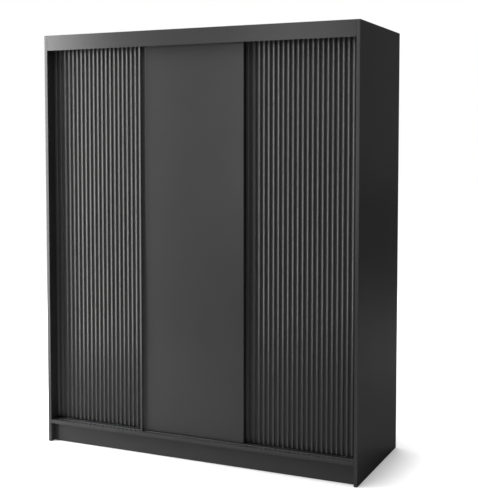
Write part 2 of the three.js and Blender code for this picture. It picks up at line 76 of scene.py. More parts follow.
def make_active(piece):
    deselect()
    piece.select_set(True)
    bpy.context.view_layer.objects.active = piece


def named(name):
    """The object that an operator has just made, under a name of its own."""
    piece = bpy.context.object
    piece.name = piece.data.name = name
    return piece


def freeze(rotation=False, scale=True):
    """Carries the active object's place, and what else is asked for, over into its mesh."""
    bpy.ops.object.transform_apply(location=True, rotation=rotation, scale=scale)


def remove(*pieces):
    deselect()
    for piece in pieces:
        piece.select_set(True)
    bpy.ops.object.delete()


def bevel(width, segments):
    """Rounds the edges selected in edit mode."""
    bpy.ops.mesh.bevel(offset=width, segments=segments, affect="EDGES")


def pick(piece, kind, test):
    """Enters edit mode with just the faces, edges or points chosen that pass the test."""
    make_active(piece)
    bpy.ops.object.mode_set(mode="EDIT")
    bpy.ops.mesh.select_mode(type=kind)
    bpy.ops.mesh.select_all(action="DESELECT")
    bpy.ops.object.mode_set(mode="OBJECT")
    mesh = piece.data
    if kind == "FACE":
        for face in mesh.polygons:
            face.select = test(face.center, face.normal)
    elif kind == "EDGE":
        for edge in mesh.edges:
            first, last = (mesh.vertices[i].co for i in edge.vertices)
            edge.select = test(first, last)
    else:
        for point in mesh.vertices:
            point.select = test(point.co)
    bpy.ops.object.mode_set(mode="EDIT")


def near(a, b, slack=mm(0.02)):
    return abs(a - b) < slack


def everything(*_):
    return True


def runs_across(height):
    """A test for edges that run from the front to the back at a height."""
    return lambda first, last: near(first.x, last.x) and near(first.z, height) and near(last.z, height)


def along(direction, length):
    step = Vector((0, 0, 0))
    step[direction] = length
    return step


def blank(name, low, high):
    """A block between two corners, the raw stock for a piece."""
    low, high = Vector(low), Vector(high)
    deselect()
    bpy.ops.mesh.primitive_cube_add(size=1, location=(low + high) / 2)
    piece = named(name)
    piece.scale = high - low
    freeze()
    return piece


def apply_modifier(piece, kind, **settings):
    make_active(piece)
    modifier = piece.modifiers.new(kind.title(), kind)
    for key, value in settings.items():
        setattr(modifier, key, value)
    bpy.ops.object.modifier_apply(modifier=modifier.name)


def copy_of(piece, name, step):
    """A copy with its own mesh, moved by a step."""
    make_active(piece)
    bpy.ops.object.duplicate(linked=False)
    copied = named(name)
    copied.location = step
    freeze(scale=False)
    return copied


def finish(piece, *materials):
    """Gives the piece its materials. New faces take the first."""
    piece.data.materials.clear()
    for material in materials:
        piece.data.materials.append(material)


SMOOTH_BELOW = math.radians(30)


def settle(piece, node):
    make_active(piece)
    bpy.ops.object.shade_smooth_by_angle(angle=SMOOTH_BELOW)
    apply_modifier(piece, "WEIGHTED_NORMAL", keep_sharp=True)
    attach(piece, body_of_node[node])
    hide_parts(node)
    return piece


body_of_node = {node: body for body, names in frame["record"]["behaviour"]["bodies"].items()
                for node in names}

# %% [markdown]
# ## Colours and nodes
# Paint charts give colours in sRGB, while shaders count in linear light, so one function turns a hex
# code into linear values. A second one adds a node together with its settings and links. The others
# say what every finish here needs: something that wanders over the surface, a colour and a relief.

# %% Helpers for finishes
def linear(hex_code):
    """The colour of a hex code in linear light, by the sRGB curve."""
    values = []
    for start in (0, 2, 4):
        share = int(hex_code[start:start + 2], 16) / 255
        values.append(share / 12.92 if share <= 0.04045 else ((share + 0.055) / 1.055) ** 2.4)
    return (*values, 1.0)


# Some nodes have sockets that share a name, so these are told apart by number.
VALUE, FROM_LOW, FROM_HIGH, TO_LOW, TO_HIGH = range(5)  # Map Range
FACTOR, COLOUR_A, COLOUR_B, MIXED = 0, 6, 7, 2  # Mix, when it mixes colours


def add(tree, kind, inputs=None, **settings):
    """Adds a node. Inputs take a plain value or another node's output socket."""
    made = tree.nodes.new(kind)
    for key, value in settings.items():
        setattr(made, key, value)
    for key, value in (inputs or {}).items():
        if isinstance(value, bpy.types.NodeSocket):
            tree.links.new(value, made.inputs[key])
        else:
            made.inputs[key].default_value = value
    return made


def new_finish(name, **shader_values):
    """A material with a Principled shader, and its Object coordinates ready to use."""
    material = bpy.data.materials.new(name)
    material.use_nodes = True
    tree = material.node_tree
    shader = tree.nodes["Principled BSDF"]
    for key, value in shader_values.items():
        shader.inputs[key.replace("_", " ")].default_value = value
    place = add(tree, "ShaderNodeTexCoord").outputs["Object"]
    return material, tree, shader, place


def per_mm(size):
    """How many pattern cells fit in a metre when one cell is this many millimetres wide."""
    return 1000 / size


def drift(tree, place, cell_mm, low, high, detail=2.0):
    """A soft noise that wanders between two values over cells of the given size."""
    noise = add(tree, "ShaderNodeTexNoise", {"Vector": place, "Scale": per_mm(cell_mm), "Detail": detail})
    # The noise seldom leaves 0.25 to 0.75, so that part is stretched over the two values.
    stretched = add(tree, "ShaderNodeMapRange", {VALUE: noise.outputs[0], FROM_LOW: 0.25, FROM_HIGH: 0.75,
                                                 TO_LOW: low, TO_HIGH: high}, clamp=False)
    return stretched.outputs[0]


def blend(tree, share, first, second):
    """Runs from the first colour, where the share is 0, to the second, where it is 1."""
    mix = add(tree, "ShaderNodeMix", {FACTOR: share, COLOUR_A: first, COLOUR_B: second}, data_type="RGBA")
    return mix.outputs[MIXED]


def paint(tree, shader, share, first, second):
    """Colours the surface between two hex codes."""
    tree.links.new(blend(tree, share, linear(first), linear(second)), shader.inputs["Base Color"])


def emboss(tree, shader, height, depth_mm, strength=1.0):
    """Gives the surface a relief of the given depth without changing its shape."""
    bump = add(tree, "ShaderNodeBump", {"Height": height, "Distance": mm(depth_mm), "Strength": strength})
    tree.links.new(bump.outputs[0], shader.inputs["Normal"])


print("hex 333333 is", round(linear("333333")[0], 4), "in linear light")

# %% [markdown]
# ## Dark melamine board
# The carcass is chipboard faced with melamine paper, pressed against a steel plate. The plate gives
# the skin an even satin gloss with a very fine pearl texture. The eye reads three things: a grey that
# drifts a little over the board, a gloss that is slightly uneven where hands and cloths have been, and
# the pearl, which is really 0.3 mm fine and is drawn ten times coarser here so that it shows at all.

# %% Melamine and its edge band
GREY_DRIFT, GLOSS_DRIFT, PEARL = 240, 130, 3  # the size of each pattern's cells in mm


def melamine(name, colour, lighter, gloss_low, gloss_high, pearl_depth):
    material, tree, shader, place = new_finish(name, Roughness=gloss_low, IOR=1.5)
    paint(tree, shader, drift(tree, place, GREY_DRIFT, 0, 1), colour, lighter)
    tree.links.new(drift(tree, place, GLOSS_DRIFT, gloss_low, gloss_high), shader.inputs["Roughness"])
    emboss(tree, shader, drift(tree, place, PEARL, 0, 1, 0.0), pearl_depth)
    return material


# Each roughness stays under 0.27 all over. The renderer's noise filter takes a reflection duller than
# that for a part of the surface, and would draw a faint outline wherever the gloss crosses the line.
board_skin = melamine("melamine_board", "333333", "353535", 0.252, 0.264, 0.002)
# The band is 1 mm ABS, trimmed and buffed, so it is a touch smoother and shows less pearl.
board_band = melamine("abs_edge_band", "353535", "373737", 0.245, 0.26, 0.001)
# The doors' foil is printed the same grey. Its finer pearl makes it read a little smoother.
front_foil = melamine("satin_front_foil", "333333", "353535", 0.252, 0.264, 0.001)
print("board finishes:", board_skin.name, board_band.name, front_foil.name)

# %% [markdown]
# ## Hardboard back
# The back is 3 mm hardboard. The side that faces the room inside is lacquered grey, and the outer side
# keeps the print of the wire screen it was pressed on. Both live in one material: the direction of the
# surface decides which of them shows. A real screen has a wire each millimetre, too fine to see from a
# few steps away, so the print is drawn with one each 19 mm.

# %% Hardboard
back_board, tree, shader, place = new_finish("lacquered_hardboard", Roughness=0.5)
facing = add(tree, "ShaderNodeSeparateXYZ", {0: add(tree, "ShaderNodeNewGeometry").outputs["Normal"]})
outside = add(tree, "ShaderNodeMath", {0: facing.outputs[Y], 1: 0.5}, operation="GREATER_THAN").outputs[0]
lacquer = blend(tree, drift(tree, place, 200, 0, 1), linear("323334"), linear("363738"))
fibres = blend(tree, drift(tree, place, 9, 0, 1, 6.0), linear("2b241f"), linear("3d332b"))
tree.links.new(blend(tree, outside, lacquer, fibres), shader.inputs["Base Color"])
dull = add(tree, "ShaderNodeMapRange", {VALUE: outside, TO_LOW: 0.42, TO_HIGH: 0.8})
tree.links.new(dull.outputs[0], shader.inputs["Roughness"])
# This wave counts 20 radians to the unit. At 3 mm to the radian, a whole turn is 19 mm long.
WAVE_RADIANS, WIRE_RADIAN = 20, 3
wires = []
for direction in ("X", "Z"):
    wave = add(tree, "ShaderNodeTexWave",
               {"Vector": place, "Scale": per_mm(WIRE_RADIAN) / WAVE_RADIANS, "Distortion": 0.4},
               wave_type="BANDS", bands_direction=direction)
    wires.append(wave.outputs["Fac"])
screen = add(tree, "ShaderNodeMath", {0: wires[0], 1: wires[1]}, operation="MAXIMUM").outputs[0]
screen = add(tree, "ShaderNodeMath", {0: screen, 1: outside}, operation="MULTIPLY").outputs[0]
emboss(tree, shader, screen, 0.25, 0.6)
print("hardboard: a wire each", round(2 * math.pi * WIRE_RADIAN, 1), "mm")

# %% [markdown]
# ## Metals
# The tracks are extruded aluminium, etched and anodised dark: a metal with a dark tint, dragged along
# the profile by the extrusion die. The hanging rail is steel tube with bright plating. The axles are
# turned, so their marks run round them. A metal's colour is its reflection, so the colour is set pale
# or dark and the roughness carries the finish.

# %% Metals
METRE = 1000  # the noise has one cell to the metre, and the squeeze then says how many


def streaked_metal(name, colour, lighter, rough_low, rough_high, squeeze, depth):
    """Marks that are longer in one direction. The squeeze counts them to the metre along each axis."""
    material, tree, shader, place = new_finish(name, Metallic=1.0, Roughness=rough_low)
    squeezed = add(tree, "ShaderNodeMapping", {"Vector": place, "Scale": squeeze}).outputs[0]
    marks = drift(tree, squeezed, METRE, 0, 1, 4.0)
    paint(tree, shader, marks, colour, lighter)
    dullness = add(tree, "ShaderNodeMapRange", {VALUE: marks, TO_LOW: rough_low, TO_HIGH: rough_high})
    tree.links.new(dullness.outputs[0], shader.inputs["Roughness"])
    emboss(tree, shader, marks, depth)
    return material


# Die lines run for a quarter of a metre. On a real profile they lie a few tenths of a millimetre apart,
# and here 1.1 mm, so that they show.
along_x = (4, 900, 900)
anodised = streaked_metal("dark_anodised_aluminium", "2e2f30", "38393a", 0.34, 0.44, along_x, 0.01)
# Plating keeps the faint draw lines of the tube, and gives sharp, pale reflections.
plated = streaked_metal("bright_plated_steel", "c4c5c8", "d2d3d5", 0.12, 0.2, along_x, 0.004)
# Turning marks are rings round the axle, so the noise is squeezed most along the axle.
turned = streaked_metal("turned_steel", "b2b3b5", "c6c7c9", 0.29, 0.36, (150, 2500, 150), 0.01)
# Zinc has no direction: its crystals are blotches of the same size all ways.
zinc = streaked_metal("zinc_plated_screws", "8d8f90", "a7a8a6", 0.3, 0.45, (700, 700, 700), 0.01)
print("metals:", anodised.name, plated.name, turned.name, zinc.name)

# %% [markdown]
# ## Plastics
# The wheels and top guides are natural nylon: off-white, waxy, with light that sinks in a little. The
# housings, flanges and the back's joint strip are black mouldings from a spark-eroded tool, which
# leaves a fine orange-peel grain. The grain is 0.2 mm on the tool and drawn at 1 mm.

# %% Plastics
nylon, tree, shader, place = new_finish("natural_nylon", Roughness=0.42, Subsurface_Weight=0.25)
shader.inputs["Subsurface Radius"].default_value = (mm(2), mm(1.6), mm(1.2))
shader.inputs["Subsurface Scale"].default_value = 1.0
paint(tree, shader, drift(tree, place, 12, 0, 1), "d2d0c6", "e0ded6")
emboss(tree, shader, drift(tree, place, 1.5, 0, 1), 0.02)

black_moulding, tree, shader, place = new_finish("eroded_black_plastic", Roughness=0.5)
paint(tree, shader, drift(tree, place, 25, 0, 1), "212223", "262728")
grain = add(tree, "ShaderNodeTexVoronoi", {"Vector": place, "Scale": per_mm(1)})
emboss(tree, shader, grain.outputs["Distance"], 0.04)

print("finishes so far:", len(bpy.data.materials))

# %% [markdown]
# ## Boards with edge bands
# A melamine board is sawn, a 1 mm plastic band is glued along each edge that shows, and the band's
# corners are rounded over. So a real board shows a hairline 1 mm behind its front edge. It could be
# painted on, but a line that catches light needs depth: here the block gets small round edges, is
# bisected where the band starts, and the cut is opened into a shallow groove.

# %% One board
BAND = mm(1)
BAND_LINE = mm(0.16)
EASED_EDGE = mm(0.6)


def along_box_edge(low, high):
    """True for an edge that lies on one of the block's twelve edges."""
    def test(first, last):
        flush = [axis for axis in (X, Y, Z) if near(first[axis], last[axis])
                 and (near(first[axis], low[axis]) or near(first[axis], high[axis]))]
        return len(flush) == 2
    return test


def eased_block(name, low, high, rounding):
    block = blank(name, low, high)
    pick(block, "EDGE", along_box_edge(low, high))
    bevel(rounding, 2)
    return block


def banded_board(node, bands):
    """The board of a CAD node, with an edge band on each side given as (axis, side)."""
    low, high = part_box(node)
    board = eased_block(node + "_board", low, high, EASED_EDGE)
    finish(board, board_skin, board_band)
    for axis, side in bands:
        line = low[axis] + BAND if side < 0 else high[axis] - BAND
        pick(board, "FACE", everything)
        bpy.ops.mesh.bisect(plane_co=along(axis, line), plane_no=along(axis, 1))
        bevel(BAND_LINE, 2)
        pick(board, "VERT", lambda point: near(point[axis], line, mm(0.01)))
        bpy.ops.transform.shrink_fatten(value=-BAND_LINE)
        pick(board, "FACE", lambda middle, normal: (middle[axis] - line) * side > 0)
        board.active_material_index = 1
        bpy.ops.object.material_slot_assign()
    return settle(board, node)


print("bands:", BAND * 1000, "mm thick, their edges rounded by", EASED_EDGE * 1000, "mm")

# %% [markdown]
# The side panels, the bottom board and the fittings inside show their front edges. The fascia shows
# both long edges, and the plinth its top edge. The other boards have sawn edges that nobody sees.

# %% All boards
FRONT, UNDER, OVER = (Y, -1), (Z, -1), (Z, 1)
SHELVES = [f"shelf_{level}" for level in range(1, 6)]
front_banded = ["left_side_panel", "right_side_panel", "bottom_panel", "partition", *SHELVES, "hat_shelf"]
bands_of_board = {name: [FRONT] for name in front_banded}
bands_of_board["top_fascia"] = [UNDER, OVER]
bands_of_board["front_plinth"] = [OVER]
for name in ("top_panel", "rear_plinth", "left_plinth_brace", "right_plinth_brace"):
    bands_of_board[name] = []
boards = [banded_board(node, bands) for node, bands in bands_of_board.items()]
print(len(boards), "boards,", sum(len(board.data.polygons) for board in boards), "faces")

# %% [markdown]
# ## Walking a section
# Door panels and tracks are the same section from end to end. Such a shape starts as a single edge as
# long as the piece, which is then walked round the section: pulled along the straight parts and spun
# round the curved ones. At the end the first and last edge are merged and the two ends are capped.

# %% Helpers for sections
HALF_PLANE = 0.5
WELD = mm(0.005)


def long_edge(name, axis, start, length):
    """A single edge of the given length along an axis, selected and in edit mode."""
    deselect()
    upright = {X: (0, 0, 0), Z: (0, -math.pi / 2, 0)}[axis]
    bpy.ops.mesh.primitive_plane_add(size=2 * HALF_PLANE, rotation=upright)
    piece = named(name)
    piece.location = Vector(start) + along(axis, length / 2) + along(Y, HALF_PLANE)
    piece.scale = (length, 1, 1)
    freeze(rotation=True)
    # The plane's front edge lies where the section starts, and its back edge goes.
    pick(piece, "VERT", lambda point: point.y > start[Y] + HALF_PLANE)
    bpy.ops.mesh.delete(type="VERT")
    bpy.ops.mesh.select_all(action="SELECT")
    return piece


def pull(step):
    """Extrudes the selection by a step."""
    bpy.ops.mesh.extrude_region_move(TRANSFORM_OT_translate={"value": step})


def trace(points):
    """Pulls the selected edge from the first point through all the others."""
    for last, point in zip(points, points[1:]):
        pull(Vector(point) - Vector(last))


def sweep(centre, turn, steps):
    """Spins the selected edge round an upright axis. A positive turn is anticlockwise from above, and
    the operator counts the other way."""
    bpy.ops.mesh.spin(steps=steps, angle=-turn, center=centre, axis=(0, 0, 1))


def face_outwards():
    bpy.ops.mesh.select_all(action="SELECT")
    bpy.ops.mesh.normals_make_consistent(inside=False)


def close_section(piece, axis, ends):
    """Merges where the walk meets its start, caps both ends and turns all faces outwards."""
    pick(piece, "VERT", everything)
    bpy.ops.mesh.remove_doubles(threshold=WELD)
    for end in ends:
        pick(piece, "EDGE", lambda first, last: near(first[axis], end) and near(last[axis], end))
        bpy.ops.mesh.edge_face_add()
    face_outwards()
    deselect()


print("welding below", WELD * 1000, "mm")

# %% [markdown]
# ## Fluted doors
# The outer doors are fibreboard, milled with a round-nosed cutter that runs the full height again and
# again, 24 times side by side, and leaves a thin ridge between two passes. A foil is then drawn over
# the face, which rounds the ridges. Here one upright edge is spun round the cutter's axis into one
# hollow, an array repeats it, the ridges are bevelled, and the skin is pulled back and flattened.

# %% The fluted skin and its body
FLUTES = 24
FLUTE_DEPTH = mm(6.5)
FLUTE_STEPS = 14
RIDGE = mm(1)
RIDGE_ROUND = mm(0.3)
FLUTE_WELD = mm(0.01)


def fluted_slab(name, low, high):
    pitch = (high.x - low.x) / FLUTES
    half = (pitch - RIDGE) / 2
    radius = (half ** 2 + FLUTE_DEPTH ** 2) / (2 * FLUTE_DEPTH)
    slab = long_edge(name, Z, low, high.z - low.z)
    pull(along(X, RIDGE / 2))
    sweep((low.x + pitch / 2, low.y + FLUTE_DEPTH - radius, 0), -2 * math.asin(half / radius), FLUTE_STEPS)
    pull(along(X, RIDGE / 2))
    apply_modifier(slab, "ARRAY", count=FLUTES, use_relative_offset=False, use_constant_offset=True,
                   constant_offset_displace=(pitch, 0, 0), use_merge_vertices=True,
                   merge_threshold=FLUTE_WELD)
    pick(slab, "FACE", everything)
    pull(along(Y, high.y - low.y))
    bpy.ops.transform.resize(value=(1, 0, 1), center_override=(0, high.y, 0))
    face_outwards()

    def on_ridge(first, last):
        upright = near(first.x, last.x) and near(first.y, low.y) and near(last.y, low.y)
        return upright and not near((first.x - low.x + pitch / 2) % pitch, pitch / 2)
    pick(slab, "EDGE", on_ridge)
    bevel(RIDGE_ROUND, 2)
    return slab


print(FLUTES, "flutes,", FLUTE_DEPTH * 1000, "mm deep, with ridges of", RIDGE * 1000, "mm")

# %% [markdown]
# ## Recesses in the doors' backs
# Rollers and top guides are let into the door from behind, in pockets cut with a router. A Boolean
# with a rounded block does what the router does. The pocket is 0.3 mm larger than the fitting, and its
# walls show bare brown fibreboard, because the foil stops at the edge.

# %% Routing
FIT = mm(0.3)
PAST = mm(2)  # how far a cutter reaches past the surface it comes through
HOUSING_CORNER = mm(7)
CORNER_STEPS = 6
HOUSING_POCKET = mm(10)
GUIDE_POCKET = mm(9)
raw_fibreboard, tree, shader, place = new_finish("raw_fibreboard", Roughness=0.85)
paint(tree, shader, drift(tree, place, 2, 0, 1, 5.0), "7a5b3c", "93714d")
emboss(tree, shader, drift(tree, place, 1, 0, 1, 4.0), 0.08)


def carve(piece, cutter, material):
    """Takes the cutter's shape out of the piece. The material goes on the walls of the hole."""
    finish(cutter, material)
    apply_modifier(piece, "BOOLEAN", object=cutter, operation="DIFFERENCE", solver="EXACT",
                   material_mode="TRANSFER")
    remove(cutter)


def round_top(piece, height, radius, segments):
    """Rounds the two upper corners of a block."""
    pick(piece, "EDGE", runs_across(height))
    bevel(radius, segments)


def route(panel, back, fitting, depth, upwards, corner=0.0):
    """Cuts the pocket of a fitting, open at the door's back and at its top or bottom edge."""
    low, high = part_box(fitting)
    under = low.z - (FIT if upwards else PAST)
    over = back.z + PAST if upwards else high.z + FIT
    cutter = blank("router", (low.x - FIT, back.y - depth, under), (high.x + FIT, back.y + PAST, over))
    if corner:
        round_top(cutter, over, corner + FIT, CORNER_STEPS)
    carve(panel, cutter, raw_fibreboard)


def rout_pockets(panel, door):
    _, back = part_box(door + "_panel")
    for side in ("left", "right"):
        route(panel, back, f"{door}_roller_housing_{side}", HOUSING_POCKET, False, HOUSING_CORNER)
        route(panel, back, f"{door}_top_guide_{side}", GUIDE_POCKET, True)


print("pockets:", HOUSING_POCKET * 1000, "mm deep,", GUIDE_POCKET * 1000, "mm for guides")

# %% The outer doors
low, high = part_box("left_door_panel")
left_panel = fluted_slab("left_door_fluted_panel", low, high)
finish(left_panel, front_foil)
rout_pockets(left_panel, "left_door")
settle(left_panel, "left_door_panel")
right_panel = copy_of(left_panel, "right_door_fluted_panel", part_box("right_door_panel")[0] - low)
settle(right_panel, "right_door_panel")
print("fluted panel:", len(left_panel.data.polygons), "faces,", FLUTES, "flutes")

# %% [markdown]
# ## The middle door and its grip rail
# The middle door is smooth. Its left edge carries a rail that stands 15 mm proud: a narrow crest that
# leans a little to the left, and behind it a hollow flank that runs out into the face, where fingertips
# take hold. The lean matters: it turns the crest towards the light, so the rail shows as a bright line.
# The section is walked out of the back corner, over the crest, down the flank in a tight and then a
# wide arc, across the face, round the right edge, and home along the back.

# %% The grip rail's section
GRIP_RISE = mm(15)
CREST_WIDTH = mm(7.5)
CREST_LEAN = math.radians(7)
OUTER_ROUND = mm(1)
INNER_ROUND = mm(0.8)
STEEP = math.radians(72)
EASE = math.radians(25)
FOOT = mm(40)
EDGE_ROUND = mm(2)
ROUND_STEPS, FLANK_STEPS, FOOT_STEPS = 6, 14, 10


def heading(angle):
    """A step of length 1 across the section: 0 runs to the right, a positive angle turns to the back."""
    return Vector((math.cos(angle), math.sin(angle), 0))


low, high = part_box("middle_door_panel")
face_y = low.y + GRIP_RISE
outer_y = low.y + OUTER_ROUND * math.cos(CREST_LEAN) + CREST_WIDTH * math.sin(CREST_LEAN)
outer_centre = Vector((low.x + OUTER_ROUND, outer_y, 0))
crest_start = outer_centre + OUTER_ROUND * heading(-math.pi / 2 - CREST_LEAN)
crest_end = crest_start + CREST_WIDTH * heading(-CREST_LEAN)
inner_centre = crest_end + INNER_ROUND * heading(math.pi / 2 - CREST_LEAN)
flank_start = inner_centre + INNER_ROUND * heading(STEEP - math.pi / 2)
tight = (face_y - flank_start.y - FOOT * (1 - math.cos(EASE))) / (math.cos(EASE) - math.cos(STEEP))
tight_centre = flank_start + tight * heading(STEEP - math.pi / 2)
foot_centre = Vector((tight_centre.x + (FOOT - tight) * math.sin(EASE), face_y - FOOT, 0))
edge_centre = Vector((high.x - EDGE_ROUND, face_y + EDGE_ROUND, 0))
print("the hollow flank is", round((foot_centre.x - flank_start.x) * 1000, 1), "mm wide")

# %% The middle door's panel
middle_panel = long_edge("middle_door_smooth_panel", Z, (low.x, high.y, low.z), high.z - low.z)
pull(along(Y, outer_y - high.y))
sweep(outer_centre, math.pi / 2 - CREST_LEAN, ROUND_STEPS)
pull(CREST_WIDTH * heading(-CREST_LEAN))
sweep(inner_centre, STEEP + CREST_LEAN, ROUND_STEPS)
sweep(tight_centre, EASE - STEEP, FLANK_STEPS)
sweep(foot_centre, -EASE, FOOT_STEPS)
pull(along(X, edge_centre.x - foot_centre.x))
sweep(edge_centre, math.pi / 2, ROUND_STEPS)
pull(along(Y, high.y - edge_centre.y))
pull(along(X, low.x - high.x))
close_section(middle_panel, Z, (low.z, high.z))
finish(middle_panel, front_foil)
rout_pockets(middle_panel, "middle_door")
settle(middle_panel, "middle_door_panel")
print("middle door:", [round(v * 1000, 1) for v in middle_panel.dimensions], "mm")

# %% [markdown]
# ## Wheels
# Each wheel is turned from nylon: a hub that runs on the axle, a thin web, and a rim with a groove that
# sits on the rail's bead. Its section is walked as a loop in the plane of the axle and spun round it.
# All wheels are alike, so one is made and five are copied.

# %% Helpers for turned and moulded pieces
TURNED_WELD = mm(0.01)
SQUARE_ON = 0.9  # a face whose normal has more than this along an axis looks that way


def start_point(name, place):
    """A single point, selected and in edit mode, for a section that is then spun."""
    deselect()
    bpy.ops.mesh.primitive_plane_add(size=2 * HALF_PLANE, rotation=(math.pi / 2, 0, 0),
                                     location=place + Vector((HALF_PLANE, 0, HALF_PLANE)))
    piece = named(name)
    freeze(rotation=True)
    # The plane's lower left corner is the point, and the other three go.
    pick(piece, "VERT", lambda point: point.x > place.x + HALF_PLANE or point.z > place.z + HALF_PLANE)
    bpy.ops.mesh.delete(type="VERT")
    bpy.ops.mesh.select_all(action="SELECT")
    return piece


def turn_round(centre, steps):
    """Spins the section in edit mode once round an axle, and closes the turned shape."""
    bpy.ops.mesh.select_all(action="SELECT")
    bpy.ops.mesh.spin(steps=steps, angle=2 * math.pi, center=centre, axis=(0, 1, 0))
    bpy.ops.mesh.select_all(action="SELECT")
    bpy.ops.mesh.remove_doubles(threshold=TURNED_WELD)
    face_outwards()
    deselect()


def ease_edges(piece, width, angle=40, segments=2):
    """Rounds every edge that is sharper than the angle."""
    apply_modifier(piece, "BEVEL", width=width, segments=segments, limit_method="ANGLE",
                   angle_limit=math.radians(angle))


def spread(model, nodes, ending):
    """Copies a finished model to every node of its kind. The model was made at the first one."""
    first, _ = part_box(nodes[0])
    for node in nodes[1:]:
        settle(copy_of(model, node + ending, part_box(node)[0] - first), node)
    model.name = model.data.name = nodes[0] + ending
    settle(model, nodes[0])
    print(nodes[0] + ending, "has", len(model.data.polygons), "faces; copies:", len(nodes) - 1)


# %% The wheels
BORE, HUB, RIM_INNER, TREAD, RIM = mm(2.25), mm(4.4), mm(7.5), mm(9), mm(11)  # radii
WHEEL_HALF, WEB_HALF, TREAD_HALF, MOUTH_HALF = mm(2.8), mm(1.5), mm(0.9), mm(2)  # half widths
WHEEL_STEPS = 48
wheel_nodes = [node for node in body_of_node if "_wheel_" in node]
low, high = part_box(wheel_nodes[0])
middle = (low + high) / 2
half_section = [
    (BORE, WHEEL_HALF), (HUB, WHEEL_HALF), (HUB, WEB_HALF), (RIM_INNER, WEB_HALF),
    (RIM_INNER, WHEEL_HALF), (RIM, WHEEL_HALF), (RIM, MOUTH_HALF), (TREAD, TREAD_HALF),
]
section = half_section + [(radius, -side) for radius, side in reversed(half_section)] + half_section[:1]
points = [middle + Vector((radius, side, 0)) for radius, side in section]
wheel = start_point("turned_wheel", points[0])
trace(points)
turn_round(middle, WHEEL_STEPS)
ease_edges(wheel, mm(0.2))
finish(wheel, nylon)
spread(wheel, wheel_nodes, "_turned")

# %% [markdown]
# ## Axles
# An axle is a short steel pin with chamfered ends, each with the small centre hole that the lathe
# needs. A cylinder is a good start, and inset and extrude make the hole.

# %% The axles
CHAMFER = mm(0.4)
END_RING = mm(0.9)
CENTRE_HOLE = mm(0.5)


def rod(name, centre, radius, length, sides, upright=False):
    """A round rod that runs from the front to the back, unless it stands upright."""
    deselect()
    bpy.ops.mesh.primitive_cylinder_add(vertices=sides, radius=radius, depth=length, location=centre,
                                        rotation=(0 if upright else math.pi / 2, 0, 0))
    freeze(rotation=not upright, scale=not upright)
    return named(name)


axle_nodes = [node for node in body_of_node if "_axle_" in node]
low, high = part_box(axle_nodes[0])
axle = rod("axle", (low + high) / 2, (high.z - low.z) / 2, high.y - low.y, 32)
ease_edges(axle, CHAMFER, segments=1)
for end, inwards in ((low.y, 1), (high.y, -1)):
    pick(axle, "FACE", lambda middle, normal: near(middle.y, end) and abs(normal.y) > SQUARE_ON)
    bpy.ops.mesh.inset(thickness=END_RING)
    pull(along(Y, inwards * CENTRE_HOLE))
finish(axle, turned)
spread(axle, axle_nodes, "_pin")

# %% [markdown]
# ## Roller housings
# The housing is moulded: round upper corners, a frame round its back that stiffens it, a pocket for the
# wheel that is open below, and a bore for the axle. The pocket and bore are cut with Booleans, since
# they go in from different sides.

# %% The roller housings
FRAME_WIDTH = mm(2)
FRAME_DEPTH = mm(0.8)
WHEEL_CLEARANCE = mm(1.5)
SIDE_CLEARANCE = mm(0.5)
THROUGH = mm(30)  # longer than the housing is deep
housing_nodes = [node for node in body_of_node if "_roller_housing_" in node]
low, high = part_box(housing_nodes[0])
housing = blank("housing", low, high)
round_top(housing, high.z, HOUSING_CORNER, CORNER_STEPS)
pick(housing, "FACE", lambda middle, normal: normal.y > SQUARE_ON)
bpy.ops.mesh.inset(thickness=FRAME_WIDTH)
pull(along(Y, -FRAME_DEPTH))
ease_edges(housing, mm(0.35))
finish(housing, black_moulding)

wheel_low, wheel_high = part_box(wheel_nodes[0])
hub = (wheel_low + wheel_high) / 2
reach = RIM + WHEEL_CLEARANCE
slot_half = WHEEL_HALF + SIDE_CLEARANCE
pocket = blank("pocket", (hub.x - reach, hub.y - slot_half, low.z - PAST),
               (hub.x + reach, hub.y + slot_half, hub.z + reach))
# The roof is round: its two corners are rounded until they all but meet.
round_top(pocket, hub.z + reach, reach * 0.99, 2 * CORNER_STEPS)
bore = rod("bore", (hub.x, (low.y + high.y) / 2, hub.z), BORE, THROUGH, 24)
carve(housing, pocket, black_moulding)
carve(housing, bore, black_moulding)
spread(housing, housing_nodes, "_moulded")

# %% [markdown]
# ## Top guides
# A guide keeps the door upright: a plate is screwed into the door's back, and its head runs in the top
# track. The plate is a block; its top is pulled up into the head, the head's front is pulled out over
# the door's edge, and the two leading corners are rounded so that it never catches.

# %% The top guides
HEAD_CORNER = mm(6)
guide_nodes = [node for node in body_of_node if "_top_guide_" in node]
low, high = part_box(guide_nodes[0])
_, panel_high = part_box("left_door_panel")
shoulder = panel_high.z + FIT
pocket_floor = panel_high.y - GUIDE_POCKET
plate_front = pocket_floor + FIT
head_back = low.y + 2 * (pocket_floor - low.y)  # the head's middle is over the pocket's floor
guide = blank("guide", (low.x, plate_front, low.z), (high.x, high.y, shoulder))
pick(guide, "FACE", lambda middle, normal: normal.z > SQUARE_ON)
pull(along(Z, high.z - shoulder))
pick(guide, "FACE", lambda middle, normal: normal.y < -SQUARE_ON and middle.z > shoulder)
pull(along(Y, low.y - plate_front))
# The head is thinner than the plate. Its back is extruded in place and then moved in, which leaves a
# ledge on the plate.
pick(guide, "FACE", lambda middle, normal: normal.y > SQUARE_ON and middle.z > shoulder)
pull(along(Y, 0))
bpy.ops.transform.translate(value=along(Y, head_back - high.y))
pick(guide, "VERT", everything)
bpy.ops.mesh.remove_doubles(threshold=WELD)
pick(guide, "EDGE", lambda first, last: near(first.y, low.y) and near(last.y, low.y)
     and near(first.x, last.x))
bevel(HEAD_CORNER, 5)
ease_edges(guide, mm(0.4))
finish(guide, nylon)
spread(guide, guide_nodes, "_moulded")

